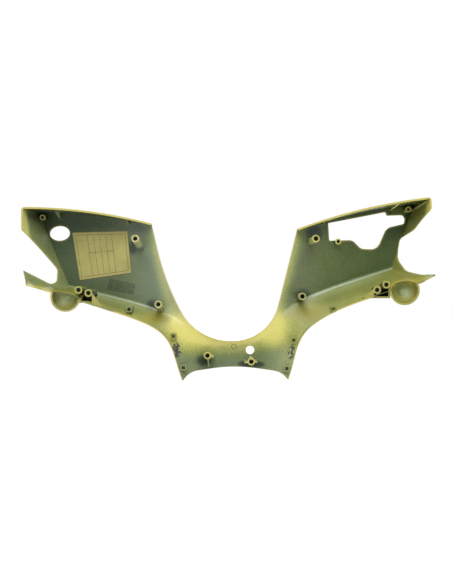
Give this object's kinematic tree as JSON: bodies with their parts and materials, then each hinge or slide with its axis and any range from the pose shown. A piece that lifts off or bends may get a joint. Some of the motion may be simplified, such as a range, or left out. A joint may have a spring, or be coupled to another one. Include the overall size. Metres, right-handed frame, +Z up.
{
  "type": "scooter handlebar cover",
  "caption": "Wide moulded plastic cover half for a scooter handlebar: winged shell with a bridge, screw posts, lever cut-outs, bowls and a paper label inside.",
  "frame": {"origin": "middle of the fixing hole in the bridge", "axes": "+X along the cover to the right as seen from inside, +Y through the fixing hole to the painted side, +Z up"},
  "size_m": [0.4965, 0.0804, 0.221],
  "materials": {
    "painted_plastic": "paint overspray inside, gloss outside",
    "label_paper": "matt"
  },
  "bodies": {
    "root": {"handlebar_cover": "painted_plastic", "paper_label": "label_paper"}
  },
  "joints": []
}
